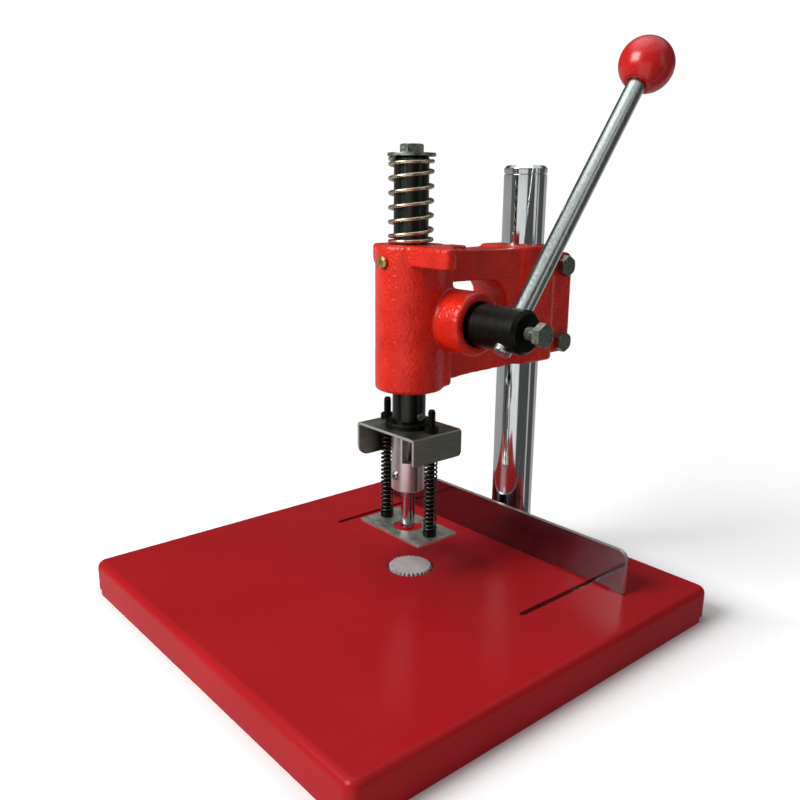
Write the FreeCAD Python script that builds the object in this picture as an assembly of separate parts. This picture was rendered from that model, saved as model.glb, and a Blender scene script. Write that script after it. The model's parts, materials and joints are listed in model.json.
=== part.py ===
import FreeCAD, Part
import math
import os

# Hand-lever press that punches one round hole in a stack of paper. Millimetres.
# +Z is up, +X the user's right, +Y the back. The origin is the centre of the base's underside.

V = FreeCAD.Vector

# base pan, folded from sheet
base_width = 300.0
base_depth = 300.0
base_height = 24.0
base_sheet = 2.0
base_corner_radius = 7.0
base_edge_radius = 5.0
base_lip = 12.0
corner_notch = 9.0
corner_notch_height = 3.5
fence_slot_x = 95.0
fence_slot_width = 4.0
fence_slot_front = 23.0
fence_slot_back = 138.0

# the two upright axes, 106 apart
ram_y = 12.6
throat = 106.0
column_y = ram_y + throat

# column and what holds it under the base
column_radius = 15.0
column_top = 296.0
column_chamfer = 2.0
column_groove_below_top = 5.0
column_groove_width = 1.2
column_groove_depth = 0.7
stud_radius = 8.0
backing_width = 84.0
backing_depth = 56.0
backing_thickness = 5.0
column_washer_radius = 15.0
column_washer_thickness = 2.0
column_nut_flats = 24.0
column_nut_height = 13.0

# cutting pad and the seat that carries it
pad_y = ram_y + 2.7
pad_radius = 14.8
pad_tooth_depth = 1.4
pad_teeth = 30
pad_thickness = 6.0
pad_top = base_height + 1.3
pad_gap = 0.3
pad_window_radius = 16.2
seat_radius = 24.0

# paper fence
fence_y = 95.0
fence_half_length = 121.0
fence_height = 30.0
fence_thickness = 3.0
fence_corner_radius = 6.0
fence_lift = 0.05
fence_notch_inner = 63.0
fence_notch_outer = 111.0
fence_notch_height = 1.2
fence_tab_width = 3.6
fence_tab_depth = 9.0
clamp_block_width = 16.0
clamp_block_depth = 14.0
clamp_block_height = 9.0
clamp_block_gap = 0.1
fence_screw_radius = 2.0
fence_screw_head_radius = 5.0
fence_screw_head_length = 6.0

# ram with its rack
ram_radius = 11.0
ram_top = 299.0
bracket_top = 127.0
running_gap = 0.05
thread_gap = 0.05
gear_module = 1.5
pinion_teeth = 16
pressure_angle = math.radians(20.0)
backlash = 0.16
rack_pitch_offset = 8.0
rack_addendum = 1.3
rack_root_depth = 1.8
rack_low = 184.5
rack_high = 244.0
pitch_radius = gear_module * pinion_teeth / 2.0
pinion_y = ram_y + rack_pitch_offset + pitch_radius
pinion_z = 197.9

# pinion shaft, hub and lever
toothed_half_length = 10.0
bearing_radius = 14.0
bearing_end = 42.5
neck_radius = 12.0
hub_start = 46.0
hub_end = 82.4
hub_radius = 13.6
hub_chamfer = 2.2
journal_radius = 8.0
journal_end = -24.0
lever_x = 70.0
lever_radius = 6.0
lever_length = 198.5
lever_tail = 16.4
lever_lean = math.radians(36.31)
knob_radius = 17.7
knob_flat = 15.7
lever_bolt_standoff = 8.4

# hexagon fasteners
m8_radius = 4.0
m8_flats = 13.0
m8_head = 5.3
m8_nut = 6.5
m5_radius = 2.5
m5_flats = 8.0
m5_nut = 4.0

# head casting
head_bottom = 152.5
head_top = 246.0
housing_radius = 22.5
rear_block_half = 19.0
rear_block_back = 34.5
rear_block_top = 241.8
flange_left = -23.0
flange_right = 50.5
flange_front = -3.2
flange_back = 31.0
flange_end_depth = 7.0
flange_bottom = 233.5
boss_radius = 20.3
boss_left = -23.0
boss_right = 43.0
arm_half = 9.0
arm_half_at_clamp = 20.0
arm_top = 241.0
arm_underside = 220.5
web_low_front = 154.5
web_low_back = 161.5
window_front = 37.0
window_back = 86.0
window_low = 196.0
arm_pad_half = 7.0
arm_pad_front = 33.0
arm_pad_back = 56.0
arm_pad_top = 244.0
clamp_half = 23.0
clamp_front = 92.0
clamp_back = 133.0
clamp_bottom = 160.5
clamp_top = 242.5
ear_half = 18.4
ear_back = 153.0
ear_low = 164.0
ear_high = 236.5
slit_width = 3.0
clamp_bolt_y = 143.0
clamp_bolt_heights = (172.0, 227.0)
clamp_washer_radius = 8.0
clamp_washer_thickness = 1.6
guide_screw_z = 235.4

# springs
return_spring_outer = 14.35
return_wire = 2.5
return_turns = 7.2
return_start = math.radians(193.0)
pressure_spring_outer = 4.6
pressure_wire = 1.2
pressure_turns = 18.0
smallest_coil_gap = 0.45

# parts hung under the ram
ram_flange_radius = 16.0
ram_flange_thickness = 4.0
lock_screw_z = 135.0
bracket_half = 28.8
bracket_half_depth = 21.0
bracket_left_height = 24.0
bracket_right_height = 18.2
bracket_sheet = 1.8
bracket_bend_radius = 2.4
bracket_stud_radius = 5.0
holder_radius = 11.5
holder_bottom = 83.0
holder_stud_length = 18.0
chip_flat_offset = 5.3
chip_ledge = 103.6
chip_ceiling = 121.0
holder_screw_z = 93.8
punch_radius = 4.75
punch_bore_radius = 4.0
punch_tip = 53.8
punch_shank_top = 98.0
punch_collar_radius = 5.4
punch_collar_height = 2.3
top_washer_radius = 15.0
top_washer_thickness = 2.0

# stripper plate with its guide rods
rod_x = 22.3
rod_radius = 2.5
rod_hole_gap = 0.1
rod_top = 142.0
plate_half = 30.5
plate_half_depth = 17.5
plate_bottom = 53.6
plate_thickness = 1.8
plate_hole_radius = 10.0
rod_tail = 1.2


def box(x0, x1, y0, y1, z0, z1):
    return Part.makeBox(x1 - x0, y1 - y0, z1 - z0, V(x0, y0, z0))


def post(radius, z0, z1, x=0.0, y=0.0):
    return Part.makeCylinder(radius, z1 - z0, V(x, y, z0), V(0, 0, 1))


def bar_x(radius, x0, x1, y, z):
    return Part.makeCylinder(radius, x1 - x0, V(x0, y, z), V(1, 0, 0))


def bar_y(radius, y0, y1, x, z):
    return Part.makeCylinder(radius, y1 - y0, V(x, y0, z), V(0, 1, 0))


def on_floor(u, v):
    return V(u, v, 0)


def on_side(u, v):
    return V(0, u, v)


def on_front(u, v):
    return V(u, 0, v)


# A closed face whose corners are (u, v, rounding radius), laid by one of the three functions above.
def rounded_face(corners, lay):
    starts = []
    middles = []
    ends = []
    count = len(corners)
    for i in range(count):
        u, v, radius = corners[i]
        here = V(u, v, 0)
        before = V(corners[i - 1][0], corners[i - 1][1], 0)
        after = V(corners[(i + 1) % count][0], corners[(i + 1) % count][1], 0)
        back = (before - here).normalize()
        ahead = (after - here).normalize()
        half = back.getAngle(ahead) / 2.0
        bisector = (back + ahead).normalize()
        starts.append(here + back * (radius / math.tan(half)))
        ends.append(here + ahead * (radius / math.tan(half)))
        middles.append(here + bisector * (radius / math.sin(half) - radius))
    edges = []
    for i in range(count):
        start = lay(starts[i].x, starts[i].y)
        middle = lay(middles[i].x, middles[i].y)
        end = lay(ends[i].x, ends[i].y)
        following = lay(starts[(i + 1) % count].x, starts[(i + 1) % count].y)
        if corners[i][2] > 0:
            edges.append(Part.Arc(start, middle, end).toShape())
        if end.distanceToPoint(following) > 1e-6:
            edges.append(Part.makeLine(end, following))
    return Part.Face(Part.Wire(edges))


def floor_plate(corners, z0, z1):
    face = rounded_face(corners, on_floor)
    face.translate(V(0, 0, z0))
    return face.extrude(V(0, 0, z1 - z0))


def side_plate(corners, x0, x1):
    face = rounded_face(corners, on_side)
    face.translate(V(x0, 0, 0))
    return face.extrude(V(x1 - x0, 0, 0))


def front_plate(corners, y0, y1):
    face = rounded_face(corners, on_front)
    face.translate(V(0, y0, 0))
    return face.extrude(V(0, y1 - y0, 0))


def rounded_rectangle(x0, x1, y0, y1, radius):
    return [(x0, y0, radius), (x1, y0, radius), (x1, y1, radius), (x0, y1, radius)]


# A solid turned about +Z from (radius, height) corners.
def turned(profile):
    points = [V(radius, 0, height) for radius, height in profile]
    face = Part.Face(Part.makePolygon(points + points[:1]))
    return face.revolve(V(0, 0, 0), V(0, 0, 1), 360)


# Turns a solid made about +Z so that its +Z points along the wanted direction, at the wanted place.
def aimed(shape, direction, place):
    turned_shape = shape.copy()
    turned_shape.Placement = FreeCAD.Placement(place, FreeCAD.Rotation(V(0, 0, 1), direction))
    return turned_shape


def edges_at_height(shape, height):
    picked = []
    for edge in shape.Edges:
        limits = edge.BoundBox
        if abs(limits.ZMin - height) < 1e-4 and abs(limits.ZMax - height) < 1e-4:
            picked.append(edge)
    return picked


def edges_at_x(shape, place):
    picked = []
    for edge in shape.Edges:
        limits = edge.BoundBox
        if abs(limits.XMin - place) < 1e-4 and abs(limits.XMax - place) < 1e-4:
            picked.append(edge)
    return picked


# Hexagon with the turned chamfer of a bolt head on its upper side, from z = 0 upwards.
def hexagon(flats, height, both_sides=False):
    corner = flats / math.sqrt(3.0)
    points = [V(corner * math.cos(math.radians(60 * i)), corner * math.sin(math.radians(60 * i)), 0)
              for i in range(7)]
    prism = Part.Face(Part.makePolygon(points)).extrude(V(0, 0, height))
    rim = flats / 2.0
    drop = (corner - rim) * math.tan(math.radians(30))
    profile = [(0, height), (rim, height), (corner, height - drop)]
    if both_sides:
        profile = profile + [(corner, drop), (rim, 0), (0, 0)]
    else:
        profile = profile + [(corner, 0), (0, 0)]
    return prism.common(turned(profile))


def nut(flats, height, bore_radius):
    return hexagon(flats, height, True).cut(post(bore_radius, -1, height + 1))


# Bolt along +Z: the head sits on z = 0 and the shank hangs below.
def hex_bolt(flats, head, radius, shank):
    tip = 0.6
    return hexagon(flats, head).fuse(turned([(0, 0.5), (radius, 0.5), (radius, tip - shank),
                                             (radius - tip, -shank), (0, -shank)]))


def ring(outer, inner, z0, z1, x=0.0, y=0.0):
    return post(outer, z0, z1, x, y).cut(post(inner, z0 - 1, z1 + 1, x, y))


def base_pan():
    half_x = base_width / 2.0
    half_y = base_depth / 2.0
    pan = floor_plate(rounded_rectangle(-half_x, half_x, -half_y, half_y, base_corner_radius), 0, base_height)
    pan = pan.makeFillet(base_edge_radius, edges_at_height(pan, base_height))
    inner_x = half_x - base_sheet
    inner_y = half_y - base_sheet
    inside_height = base_height - base_sheet
    inside = floor_plate(rounded_rectangle(-inner_x, inner_x, -inner_y, inner_y,
                                           base_corner_radius - base_sheet), base_sheet, inside_height)
    inside = inside.makeFillet(base_edge_radius - base_sheet, edges_at_height(inside, inside_height))
    mouth_x = inner_x - base_lip
    mouth_y = inner_y - base_lip
    mouth = box(-mouth_x, mouth_x, -mouth_y, mouth_y, -1, base_sheet + 1)
    cuts = [inside, mouth, post(stud_radius + 0.2, 0, base_height + 1, 0, column_y),
            post(pad_window_radius, 0, base_height + 1, 0, pad_y)]
    for side in (-1, 1):
        slot_x = side * fence_slot_x
        cuts.append(floor_plate(rounded_rectangle(slot_x - fence_slot_width / 2.0, slot_x + fence_slot_width / 2.0,
                                                  fence_slot_front, fence_slot_back,
                                                  fence_slot_width / 2.0 - 0.01), inside_height - 1, base_height + 1))
        for end in (-1, 1):
            notch = box(-corner_notch, corner_notch, -corner_notch, corner_notch, -1, corner_notch_height)
            notch.translate(V(side * half_x, end * half_y, 0))
            cuts.append(notch)
    return pan.cut(cuts)


def backing_plate():
    top = base_height - base_sheet
    plate = floor_plate(rounded_rectangle(-backing_width / 2.0, backing_width / 2.0,
                                          column_y - backing_depth / 2.0, column_y + backing_depth / 2.0 - 6.0, 5.0),
                        top - backing_thickness, top)
    return plate.cut(post(stud_radius + 0.2, 0, base_height, 0, column_y))


def column():
    groove_high = column_top - column_groove_below_top
    groove_low = groove_high - column_groove_width
    neck = column_radius - column_groove_depth
    under = base_height - base_sheet - backing_thickness - column_washer_thickness - column_nut_height
    shaft = turned([(0, under - 0.4), (stud_radius - 0.8, under - 0.4), (stud_radius, under + 0.4),
                    (stud_radius, base_height), (column_radius, base_height),
                    (column_radius, groove_low), (neck, groove_low), (neck, groove_high),
                    (column_radius, groove_high), (column_radius, column_top - column_chamfer),
                    (column_radius - column_chamfer, column_top), (0, column_top)])
    shaft.translate(V(0, column_y, 0))
    return shaft


def column_washer():
    high = base_height - base_sheet - backing_thickness
    return ring(column_washer_radius, stud_radius + 0.4, high - column_washer_thickness, high, 0, column_y)


def column_nut():
    high = base_height - base_sheet - backing_thickness - column_washer_thickness
    piece = nut(column_nut_flats, column_nut_height, stud_radius + thread_gap)
    piece.translate(V(0, column_y, high - column_nut_height))
    return piece


# Turned seat: stands on the bench under the punch and holds the pad in a shallow pocket.
def anvil_seat():
    high = base_height - base_sheet
    pocket_floor = pad_top - pad_thickness
    foot = 1.0
    seat = turned([(0, 0), (seat_radius - foot, 0), (seat_radius, foot), (seat_radius, high),
                   (pad_radius + pad_gap, high), (pad_radius + pad_gap, pocket_floor), (0, pocket_floor)])
    seat.translate(V(0, pad_y, 0))
    return seat


def cutting_pad():
    points = []
    for i in range(2 * pad_teeth + 1):
        radius = pad_radius - pad_tooth_depth * (i % 2)
        angle = math.pi * i / pad_teeth
        points.append(V(radius * math.cos(angle), pad_y + radius * math.sin(angle), pad_top - pad_thickness))
    return Part.Face(Part.makePolygon(points)).extrude(V(0, 0, pad_thickness))


def fence_plate():
    low = base_height + fence_lift
    raised = low + fence_notch_height
    tab_low = base_height - base_sheet - fence_tab_depth
    corners = [(-fence_half_length, low + fence_height, fence_corner_radius),
               (fence_half_length, low + fence_height, fence_corner_radius),
               (fence_half_length, low, 1.0)]
    right = []
    for x, z in ((fence_notch_outer, low), (fence_notch_outer, raised),
                 (fence_slot_x + fence_tab_width / 2.0, raised), (fence_slot_x + fence_tab_width / 2.0, tab_low),
                 (fence_slot_x - fence_tab_width / 2.0, tab_low), (fence_slot_x - fence_tab_width / 2.0, raised),
                 (fence_notch_inner, raised), (fence_notch_inner, low)):
        right.append((x, z, 0.0))
    left = [(-x, z, radius) for x, z, radius in reversed(right)]
    corners = corners + right + left + [(-fence_half_length, low, 1.0)]
    return front_plate(corners, fence_y - fence_thickness / 2.0, fence_y + fence_thickness / 2.0)


def fence_clamps():
    high = base_height - base_sheet - clamp_block_gap
    blocks = []
    for side in (-1, 1):
        x = side * fence_slot_x
        block = floor_plate(rounded_rectangle(x - clamp_block_width / 2.0, x + clamp_block_width / 2.0,
                                              fence_y - clamp_block_depth / 2.0, fence_y + clamp_block_depth / 2.0,
                                              1.5), high - clamp_block_height, high)
        pocket = box(x - fence_tab_width / 2.0 - 0.05, x + fence_tab_width / 2.0 + 0.05,
                     fence_y - fence_thickness / 2.0 - 0.05, fence_y + fence_thickness / 2.0 + 0.05,
                     high - clamp_block_height - 1, high + 1)
        hole = bar_y(fence_screw_radius + thread_gap, fence_y - clamp_block_depth, fence_y, x,
                     high - clamp_block_height / 2.0)
        blocks.append(block.cut([pocket, hole]))
    return Part.makeCompound(blocks)


def fence_screws():
    height = base_height - base_sheet - clamp_block_gap - clamp_block_height / 2.0
    front = fence_y - clamp_block_depth / 2.0
    screws = []
    for side in (-1, 1):
        shank = bar_y(fence_screw_radius, front - 1.0, fence_y - fence_thickness / 2.0, side * fence_slot_x, height)
        head = turned([(0, 0), (fence_screw_head_radius - 0.8, 0), (fence_screw_head_radius, 0.8),
                       (fence_screw_head_radius, fence_screw_head_length - 0.8),
                       (fence_screw_head_radius - 0.8, fence_screw_head_length), (0, fence_screw_head_length)])
        head = aimed(head, V(0, -1, 0), V(side * fence_slot_x, front, height))
        screws.append(shank.fuse(head))
    return Part.makeCompound(screws)


# Upright housing round the ram, with its rounded lower and upper rims.
def ram_housing():
    rim = 2.0
    housing = post(housing_radius, head_bottom, head_top, 0, ram_y)
    housing = housing.makeFillet(rim, edges_at_height(housing, head_bottom))
    return housing.makeFillet(rim, edges_at_height(housing, head_top))


def rear_block():
    block = floor_plate([(-rear_block_half, ram_y, 0), (rear_block_half, ram_y, 0),
                         (rear_block_half, rear_block_back, 4.0), (-rear_block_half, rear_block_back, 4.0)],
                        web_low_front, rear_block_top)
    return block.makeFillet(1.5, edges_at_height(block, web_low_front))


# Top flange of the housing: it reaches out over the pinion boss, narrows towards its right end and has
# its underside sloped at the left end.
def top_flange():
    slope = 5.0
    end_back = flange_front + flange_end_depth
    block = front_plate([(flange_left, head_top, 2.0), (flange_right, head_top, 2.0),
                         (flange_right, flange_bottom, 2.0), (flange_left + slope, flange_bottom, 2.0),
                         (flange_left, flange_bottom + slope, 1.0)], flange_front, flange_back)
    plan = floor_plate([(flange_left, flange_front, 7.0), (flange_right, flange_front, 3.4),
                        (flange_right, end_back, 2.5), (rear_block_half, flange_back, 3.0),
                        (flange_left, flange_back, 7.0)], flange_bottom, head_top)
    plan = plan.makeFillet(1.6, edges_at_height(plan, head_top))
    return block.common(plan)


def pinion_boss():
    boss = bar_x(boss_radius, boss_left, boss_right, pinion_y, pinion_z)
    boss = boss.makeFillet(3.0, edges_at_x(boss, boss_right))
    return boss.makeFillet(3.0, edges_at_x(boss, boss_left))


# Arm from the housing to the column clamp: it widens towards the clamp, and its window shows daylight
# above the pinion boss.
def arm():
    back = clamp_front + 10.0
    side = side_plate([(ram_y, web_low_front, 0), (30.0, web_low_front, 20.0), (back, web_low_back, 0),
                       (back, arm_top, 0), (ram_y, arm_top, 0)], -clamp_half, clamp_half)
    plan = floor_plate([(-arm_half, ram_y, 0), (arm_half, ram_y, 0), (arm_half, 56.0, 30.0),
                        (arm_half_at_clamp, back, 0), (-arm_half_at_clamp, back, 0), (-arm_half, 56.0, 30.0)],
                       head_bottom, head_top)
    window = side_plate([(window_front, window_low, 6.0), (window_back, window_low, 8.0),
                         (window_back, arm_underside, 14.0), (window_front, arm_underside, 3.0)],
                        -clamp_half, clamp_half)
    pad = side_plate([(arm_pad_front, arm_top - 2, 0), (arm_pad_back, arm_top - 2, 0),
                      (arm_pad_back, arm_pad_top, 1.5), (arm_pad_front, arm_pad_top, 1.5)],
                     -arm_pad_half, arm_pad_half)
    return side.common(plan).cut(window).fuse(pad)


def column_clamp():
    barrel = floor_plate([(-clamp_half, clamp_front + 6.0, 9.0), (-14.0, clamp_front, 4.0),
                          (14.0, clamp_front, 4.0), (clamp_half, clamp_front + 6.0, 9.0),
                          (clamp_half, clamp_back, 8.0), (-clamp_half, clamp_back, 8.0)], clamp_bottom, clamp_top)
    barrel = barrel.makeFillet(2.0, edges_at_height(barrel, clamp_top))
    barrel = barrel.makeFillet(2.0, edges_at_height(barrel, clamp_bottom))
    ears = side_plate([(column_y, ear_low, 0), (ear_back, ear_low, 7.0), (ear_back, ear_high, 7.0),
                       (column_y, ear_high, 0)], -ear_half, ear_half)
    return barrel.fuse(ears)


def head_casting():
    body = ram_housing()
    for lump in (rear_block(), top_flange(), pinion_boss(), arm(), column_clamp()):
        body = body.fuse(lump)
    cuts = [post(ram_radius + running_gap, head_bottom - 1, head_top + 2, 0, ram_y),
            bar_x(bearing_radius + running_gap, -toothed_half_length - 0.3, boss_right + 1, pinion_y, pinion_z),
            bar_x(journal_radius + running_gap, boss_left - 1, 0, pinion_y, pinion_z),
            post(column_radius + running_gap, clamp_bottom - 1, head_top + 1, 0, column_y),
            box(-slit_width / 2.0, slit_width / 2.0, column_y, ear_back + 1, clamp_bottom - 1, head_top + 1),
            bar_y(m5_radius + thread_gap, ram_y - housing_radius - 1, ram_y, 0, guide_screw_z)]
    for height in clamp_bolt_heights:
        cuts.append(bar_x(m8_radius + 0.3, -ear_half - 1, ear_half + 1, clamp_bolt_y, height))
    return body.cut(cuts)


# Small pan-headed screw in the front of the housing that takes up the ram's play.
def guide_screw():
    head_radius = 3.9
    head_height = 2.2
    tip_gap = 0.1
    front = ram_y - housing_radius
    shank = front - (ram_y - ram_radius - tip_gap)
    socket = 1.2
    profile = [(0, shank), (m5_radius, shank), (m5_radius, 0), (head_radius, 0), (head_radius, head_height - 0.9),
               (head_radius - 0.9, head_height), (0, head_height)]
    screw = turned(profile).cut(hexagon(3.0, 5).translated(V(0, 0, head_height - socket)))
    return aimed(screw, V(0, -1, 0), V(0, front, guide_screw_z))


def clamp_bolts():
    bolts = []
    reach = 2 * ear_half + clamp_washer_thickness + m8_nut + 2.0
    for height in clamp_bolt_heights:
        bolt = hex_bolt(m8_flats, m8_head, m8_radius, reach)
        bolts.append(aimed(bolt, V(1, 0, 0), V(ear_half, clamp_bolt_y, height)))
    return Part.makeCompound(bolts)


def clamp_washers():
    washers = []
    for height in clamp_bolt_heights:
        washer = ring(clamp_washer_radius, m8_radius + 0.3, 0, clamp_washer_thickness)
        washers.append(aimed(washer, V(-1, 0, 0), V(-ear_half, clamp_bolt_y, height)))
    return Part.makeCompound(washers)


def clamp_nuts():
    nuts = []
    for height in clamp_bolt_heights:
        piece = nut(m8_flats, m8_nut, m8_radius + thread_gap)
        nuts.append(aimed(piece, V(-1, 0, 0), V(-ear_half - clamp_washer_thickness, clamp_bolt_y, height)))
    return Part.makeCompound(nuts)


# Round bar with straight-sided rack teeth cut into its back.
def ram_rack():
    pitch = math.pi * gear_module
    pitch_line = ram_y + rack_pitch_offset
    tip = pitch_line + rack_addendum
    root = pitch_line - rack_root_depth
    half_thickness = (pitch / 2.0 - backlash) / 2.0
    half_tip = half_thickness - rack_addendum * math.tan(pressure_angle)
    half_root = half_thickness + rack_root_depth * math.tan(pressure_angle)
    first = math.ceil((rack_low + half_root + 0.5 - pinion_z) / pitch)
    last = math.floor((rack_high - half_root - 0.5 - pinion_z) / pitch)
    outline = [V(-12, root, rack_low)]
    for tooth in range(first, last + 1):
        middle = pinion_z + tooth * pitch
        outline.append(V(-12, root, middle - half_root))
        outline.append(V(-12, tip, middle - half_tip))
        outline.append(V(-12, tip, middle + half_tip))
        outline.append(V(-12, root, middle + half_root))
    clear = ram_y + ram_radius + 1.0
    outline = outline + [V(-12, root, rack_high), V(-12, clear, rack_high), V(-12, clear, rack_low), outline[0]]
    gaps = Part.Face(Part.makePolygon(outline)).extrude(V(24, 0, 0))
    ram = turned([(0, bracket_top), (ram_radius, bracket_top), (ram_radius, ram_top - 1.0),
                  (ram_radius - 1.0, ram_top), (0, ram_top)])
    ram.translate(V(0, ram_y, 0))
    shank_hole = post(bracket_stud_radius + thread_gap, bracket_top - 1, bracket_top + holder_stud_length + 1,
                      0, ram_y)
    bolt_hole = post(m8_radius + thread_gap, ram_top - 22.0, ram_top + 1, 0, ram_y)
    screw_hole = bar_x(m5_radius + thread_gap, 0, ram_radius + 1, ram_y, lock_screw_z)
    return ram.cut([gaps, shank_hole, bolt_hole, screw_hole])


def ram_flange():
    high = bracket_top + ram_flange_thickness
    flange = ring(ram_flange_radius, ram_radius + running_gap, bracket_top, high, 0, ram_y)
    return flange.makeChamfer(0.8, [edge for edge in edges_at_height(flange, high)
                                    if edge.Curve.Radius > ram_radius + 1])


def ram_lock_screw():
    proud = 0.8
    socket = hexagon(2.5, 3).translated(V(0, 0, proud - 1.5))
    screw = post(m5_radius, bracket_stud_radius - ram_radius, proud).cut(socket)
    return aimed(screw, V(1, 0, 0), V(ram_radius, ram_y, lock_screw_z))


def top_washer():
    return ring(top_washer_radius, m8_radius + 0.3, ram_top, ram_top + top_washer_thickness, 0, ram_y)


def top_bolt():
    bolt = hex_bolt(m8_flats, m8_head, m8_radius, 20.0)
    return aimed(bolt, V(0, 0, 1), V(0, ram_y, ram_top + top_washer_thickness))


# Bent steel bracket clamped under the ram: an upside-down channel, deeper on the left.
def channel_bracket():
    low = bracket_top - bracket_left_height
    right_low = bracket_top - bracket_right_height
    inner = bracket_half - bracket_sheet
    inner_radius = bracket_bend_radius - bracket_sheet
    corners = [(-bracket_half, low, 0), (-bracket_half, bracket_top, bracket_bend_radius),
               (bracket_half, bracket_top, bracket_bend_radius), (bracket_half, low, 0), (inner, low, 0),
               (inner, bracket_top - bracket_sheet, inner_radius), (-inner, bracket_top - bracket_sheet, inner_radius),
               (-inner, low, 0)]
    front = ram_y - bracket_half_depth
    back = ram_y + bracket_half_depth
    sheet = front_plate(corners, front, back)
    left_side = side_plate([(front, low, 8.0), (back, low, 4.0), (back, bracket_top, 0), (front, bracket_top, 0)],
                           -bracket_half - 1, 0)
    right_side = side_plate([(front, right_low, 1.0), (back, right_low, 3.0), (back, bracket_top, 0),
                             (front, bracket_top, 0)], 0, bracket_half + 1)
    bracket = sheet.common(left_side.fuse(right_side))
    holes = [post(bracket_stud_radius + 0.2, low, bracket_top + 1, 0, ram_y)]
    for side in (-1, 1):
        holes.append(post(rod_radius + rod_hole_gap, low, bracket_top + 1, side * rod_x, ram_y))
    return bracket.cut(holes)


# Round holder: a stud goes up into the ram, the punch goes in from below, and the flat with its
# slot on the right lets the paper chips fall out.
def punch_holder():
    shoulder = bracket_top - bracket_sheet
    stud_top = shoulder + holder_stud_length
    holder = turned([(0, holder_bottom), (holder_radius - 0.8, holder_bottom), (holder_radius, holder_bottom + 0.8),
                     (holder_radius, shoulder), (bracket_stud_radius, shoulder), (bracket_stud_radius, stud_top),
                     (0, stud_top)])
    holder.translate(V(0, ram_y, 0))
    flat = box(chip_flat_offset, holder_radius + 1, ram_y - holder_radius - 1, ram_y + holder_radius + 1,
               chip_ledge, chip_ceiling)
    chute = box(0, holder_radius + 1, ram_y - punch_radius, ram_y + punch_radius, chip_ledge, chip_ceiling - 3.0)
    bore = post(punch_radius + thread_gap, holder_bottom - 1, chip_ceiling - 3.0, 0, ram_y)
    screw_hole = bar_y(m5_radius + thread_gap, ram_y - holder_radius - 1, ram_y, 0, holder_screw_z)
    return holder.cut([flat, chute, bore, screw_hole])


def holder_set_screw():
    proud = 1.3
    socket = hexagon(2.5, 3).translated(V(0, 0, proud - 1.6))
    screw = turned([(0, punch_radius - holder_radius), (m5_radius, punch_radius - holder_radius), (m5_radius, 0),
                    (2.9, 0), (2.9, proud - 0.4), (2.5, proud), (0, proud)])
    return aimed(screw.cut(socket), V(0, -1, 0), V(0, ram_y - holder_radius, holder_screw_z))


# Hollow punch: a thin tube whose lower rim is ground to a cutting edge.
def punch_tube():
    edge = 1.6
    tube = turned([(punch_bore_radius, punch_tip), (punch_bore_radius + 0.1, punch_tip),
                   (punch_radius, punch_tip + edge), (punch_radius, punch_shank_top),
                   (punch_bore_radius, punch_shank_top)])
    tube.translate(V(0, ram_y, 0))
    return tube


def punch_collar():
    return ring(punch_collar_radius, punch_radius + thread_gap, holder_bottom - punch_collar_height, holder_bottom,
                0, ram_y)


def stripper_plate():
    high = plate_bottom + plate_thickness
    plate = floor_plate(rounded_rectangle(-plate_half, plate_half, ram_y - plate_half_depth,
                                          ram_y + plate_half_depth, 1.0), plate_bottom, high)
    holes = [post(plate_hole_radius, plate_bottom - 1, high + 1, 0, ram_y)]
    for side in (-1, 1):
        holes.append(post(rod_radius + thread_gap, plate_bottom - 1, high + 1, side * rod_x, ram_y))
    return plate.cut(holes)


def guide_rods():
    tip = 0.6
    rods = []
    for side in (-1, 1):
        rod = turned([(0, plate_bottom - rod_tail), (rod_radius, plate_bottom - rod_tail),
                      (rod_radius, rod_top - tip), (rod_radius - tip, rod_top), (0, rod_top)])
        rod.translate(V(side * rod_x, ram_y, 0))
        rods.append(rod)
    return Part.makeCompound(rods)


def rod_nuts(low):
    nuts = []
    for side in (-1, 1):
        piece = nut(m5_flats, m5_nut, m5_radius + thread_gap)
        piece.translate(V(side * rod_x, ram_y, low))
        nuts.append(piece)
    return Part.makeCompound(nuts)


# Share of the working pitch at a place along the spring, counted in turns: none on the closed end turns.
def openness(turn, turns):
    from_end = min(turn, turns - turn)
    return max(0.0, min(1.0, (from_end - 0.75) / 0.5))


# Share of the closing pitch: the wire's last quarter turn runs level.
def climb(turn, turns):
    from_end = min(turn, turns - turn)
    return min(1.0, from_end / 0.25)


# Two tangent arcs between two points with given directions.
def two_arcs(start, start_way, end, end_way):
    span = end - start
    ways = start_way + end_way
    bend = 2.0 * (1.0 - start_way.dot(end_way))
    lean = span.dot(ways)
    reach = (math.sqrt(lean * lean + bend * span.dot(span)) - lean) / bend
    first_corner = start + start_way * reach
    second_corner = end - end_way * reach
    joint = (first_corner + second_corner) * 0.5
    arcs = []
    for a, corner, b in ((start, first_corner, joint), (joint, second_corner, end)):
        weight = math.cos(((corner - a).getAngle(b - corner)) / 2.0)
        middle = (a + corner * (2.0 * weight) + b) * (1.0 / (2.0 + 2.0 * weight))
        arcs.append(Part.Arc(a, middle, b).toShape())
    return arcs


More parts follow.
